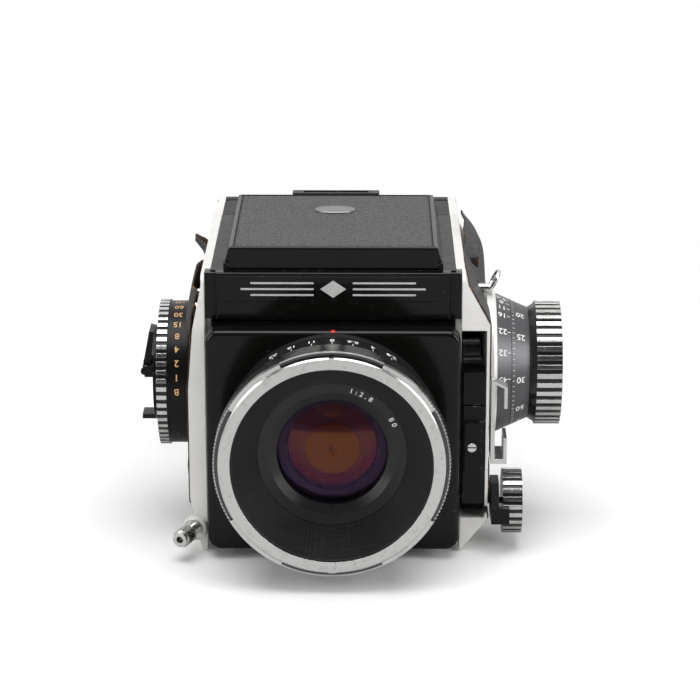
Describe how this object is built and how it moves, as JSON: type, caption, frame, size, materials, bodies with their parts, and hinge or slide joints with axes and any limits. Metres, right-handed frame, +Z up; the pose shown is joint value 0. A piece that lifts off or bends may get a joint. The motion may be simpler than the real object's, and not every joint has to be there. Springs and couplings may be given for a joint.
{
  "type": "medium format single lens reflex camera",
  "caption": "Box-shaped roll film camera with a large front lens on a sliding, tilting standard, a side focusing knob, a winding crank and a folding hood on top.",
  "frame": {"origin": "centre of the tripod socket's mouth, on the flat base", "axes": "+X to the right seen from the front, +Y from the lens towards the film, +Z up"},
  "size_m": [0.1549, 0.1762, 0.1138],
  "materials": {
    "satin_silver": "satin lacquered light alloy",
    "black_enamel": "glossy black enamel with worn edges",
    "black_satin": "satin black",
    "black_matt": "matt black anti-reflex paint",
    "grey_anodised": "dark grey anodised",
    "bright_chrome": "bright chrome",
    "steel": "machined steel",
    "brass": "machined brass",
    "leatherette": "grained black leatherette",
    "bellows_cloth": "pleated light-tight cloth",
    "curtain_cloth": "rubberised shutter cloth",
    "lens_glass": "coated glass",
    "clear_glass": "clear glass",
    "mirror_silver": "front-silvered mirror",
    "spool_plastic": "moulded black plastic"
  },
  "bodies": {
    "root": {"chassis": "black_matt", "base_plate": "satin_silver", "tripod_bush": "steel", "base_screws": "steel", "right_casing": "satin_silver", "left_casing": "satin_silver", "carriage_rails": "steel", "side_leather": "leatherette", "front_fascia": "black_enamel", "hood_frame": "black_satin", "focusing_screen": "clear_glass", "shutter_curtains": "curtain_cloth", "curtain_rollers": "steel", "depth_scale_ring": "grey_anodised", "release_socket": "bright_chrome", "accessory_shoe": "bright_chrome", "strap_lugs": "bright_chrome", "magazine_shell": "satin_silver", "guide_rollers": "steel", "film_insert": "black_matt", "hinge_pins": "steel"},
    "carriage": {"carriage_frame": "black_satin", "carriage_arm": "black_satin", "bellows": "bellows_cloth"},
    "focus_knob": {"focus_knob": "bright_chrome", "distance_ring": "grey_anodised", "pinion_shaft": "steel"},
    "standard": {"front_standard": "black_enamel", "lens_barrel": "black_matt", "front_rim": "bright_chrome", "name_ring": "black_matt", "lens_elements": "lens_glass", "iris_blades": "steel", "bellows_front_fold": "bellows_cloth"},
    "aperture_ring": {"aperture_ring": "bright_chrome"},
    "tilt_knob": {"tilt_knob": "bright_chrome"},
    "tilt_lock": {"tilt_lock_lever": "black_satin"},
    "speed_dial": {"speed_dial": "black_satin", "dial_grip": "bright_chrome"},
    "crank": {"crank_hub": "black_satin", "crank_shaft": "steel"},
    "crank_lever": {"crank_lever": "black_satin"},
    "cocking_gear": {"cocking_gear": "brass"},
    "release": {"release_button": "bright_chrome"},
    "lid": {"hood_lid": "black_enamel", "lid_leather": "leatherette"},
    "hood_catch": {"hood_catch": "black_satin"},
    "left_flap": {"left_flap": "black_satin"},
    "right_flap": {"right_flap": "black_satin"},
    "rear_flap": {"rear_flap": "black_satin"},
    "loupe": {"loupe_plate": "black_satin", "loupe_lens": "clear_glass"},
    "mirror": {"mirror_frame": "black_matt", "mirror_glass": "mirror_silver"},
    "supply_spool": {"supply_spool": "spool_plastic"},
    "take_up_spool": {"take_up_spool": "spool_plastic"},
    "magazine_door": {"magazine_door": "black_satin"},
    "door_latch": {"door_latch": "bright_chrome"},
    "dark_slide": {"dark_slide": "steel"},
    "magazine_lock": {"magazine_lock": "bright_chrome"}
  },
  "joints": [
    {"name": "focus_slide", "type": "slide", "parent": "root", "child": "carriage", "axis": [0, -1, 0], "range_m": [0, 0.05], "deforming": ["bellows"]},
    {"name": "focus_knob_turn", "type": "hinge", "parent": "root", "child": "focus_knob", "pos_m": [0.075, -0.012, 0.0625], "axis": [1, 0, 0], "range_deg": [-359, 0]},
    {"name": "standard_tilt", "type": "hinge", "parent": "carriage", "child": "standard", "pos_m": [0, -0.0475, 0.0479], "axis": [1, 0, 0], "range_deg": [-8, 8], "deforming": ["bellows_front_fold"]},
    {"name": "tilt_knob_turn", "type": "hinge", "parent": "carriage", "child": "tilt_knob", "pos_m": [0.065, -0.035, 0.0165], "axis": [1, 0, 0], "range_deg": [-91, 91]},
    {"name": "tilt_lock", "type": "hinge", "parent": "carriage", "child": "tilt_lock", "pos_m": [0.0588, -0.035, 0.0165], "axis": [-1, 0, 0], "range_deg": [0, 35]},
    {"name": "aperture_turn", "type": "hinge", "parent": "standard", "child": "aperture_ring", "pos_m": [0, -0.08, 0.0479], "axis": [0, 1, 0], "range_deg": [-30, 30]},
    {"name": "speed_dial_turn", "type": "hinge", "parent": "root", "child": "speed_dial", "pos_m": [-0.058, -0.01, 0.058], "axis": [1, 0, 0], "range_deg": [0, 137.5]},
    {"name": "crank_turn", "type": "hinge", "parent": "root", "child": "crank", "pos_m": [-0.066, -0.01, 0.058], "axis": [1, 0, 0], "continuous": true},
    {"name": "cocking_gear_turn", "type": "hinge", "parent": "root", "child": "cocking_gear", "pos_m": [-0.048, 0.014, 0.058], "axis": [1, 0, 0], "continuous": true},
    {"name": "crank_lever_fold", "type": "hinge", "parent": "crank", "child": "crank_lever", "pos_m": [-0.0703, -0.01, 0.06], "axis": [0, -1, 0], "range_deg": [0, 165]},
    {"name": "release_press", "type": "slide", "parent": "root", "child": "release", "axis": [0.3746, 0.9272, 0], "range_m": [0, 0.0025], "stiffness_N_per_m": 200},
    {"name": "lid_open", "type": "hinge", "parent": "root", "child": "lid", "pos_m": [0, -0.0366, 0.1066], "axis": [1, 0, 0], "range_deg": [0, 90]},
    {"name": "hood_catch_press", "type": "slide", "parent": "lid", "child": "hood_catch", "axis": [0, 1, 0], "range_m": [0, 0.001]},
    {"name": "left_flap_open", "type": "hinge", "parent": "root", "child": "left_flap", "pos_m": [-0.0365, 0, 0.0996], "axis": [0, -1, 0], "range_deg": [0, 90]},
    {"name": "right_flap_open", "type": "hinge", "parent": "root", "child": "right_flap", "pos_m": [0.0365, 0, 0.0996], "axis": [0, 1, 0], "range_deg": [0, 90]},
    {"name": "rear_flap_open", "type": "hinge", "parent": "root", "child": "rear_flap", "pos_m": [0, 0.0365, 0.1012], "axis": [-1, 0, 0], "range_deg": [0, 90]},
    {"name": "loupe_swing", "type": "hinge", "parent": "lid", "child": "loupe", "pos_m": [0, -0.0051, 0.1076], "axis": [-1, 0, 0], "range_deg": [0, 90]},
    {"name": "mirror_lift", "type": "hinge", "parent": "root", "child": "mirror", "pos_m": [0, 0.0325, 0.07477], "axis": [-1, 0, 0], "range_deg": [0, 45]},
    {"name": "supply_spool_turn", "type": "hinge", "parent": "root", "child": "supply_spool", "pos_m": [0, 0.0665, 0.026], "axis": [1, 0, 0], "continuous": true},
    {"name": "take_up_turn", "type": "hinge", "parent": "root", "child": "take_up_spool", "pos_m": [0, 0.0665, 0.07], "axis": [1, 0, 0], "continuous": true},
    {"name": "door_open", "type": "hinge", "parent": "root", "child": "magazine_door", "pos_m": [0, 0.0635, 0.1037], "axis": [1, 0, 0], "range_deg": [0, 90]},
    {"name": "door_latch_slide", "type": "slide", "parent": "root", "child": "door_latch", "axis": [0, -1, 0], "range_m": [0, 0.006]},
    {"name": "dark_slide_pull", "type": "slide", "parent": "root", "child": "dark_slide", "axis": [1, 0, 0], "range_m": [0, 0.08]},
    {"name": "magazine_lock_press", "type": "slide", "parent": "root", "child": "magazine_lock", "axis": [0, 0, -1], "range_m": [0, 0.001]}
  ],
  "couplings": [
    {"joint": "focus_knob_turn", "follows": "focus_slide", "rad_per_m": -125},
    {"joint": "tilt_knob_turn", "follows": "standard_tilt", "ratio": 11.25},
    {"joint": "cocking_gear_turn", "follows": "crank_turn", "ratio": -1},
    {"joint": "left_flap_open", "follows": "lid_open", "ratio": 1},
    {"joint": "right_flap_open", "follows": "lid_open", "ratio": 1},
    {"joint": "rear_flap_open", "follows": "lid_open", "ratio": 1},
    {"joint": "loupe_swing", "follows": "lid_open", "ratio": 1}
  ]
}
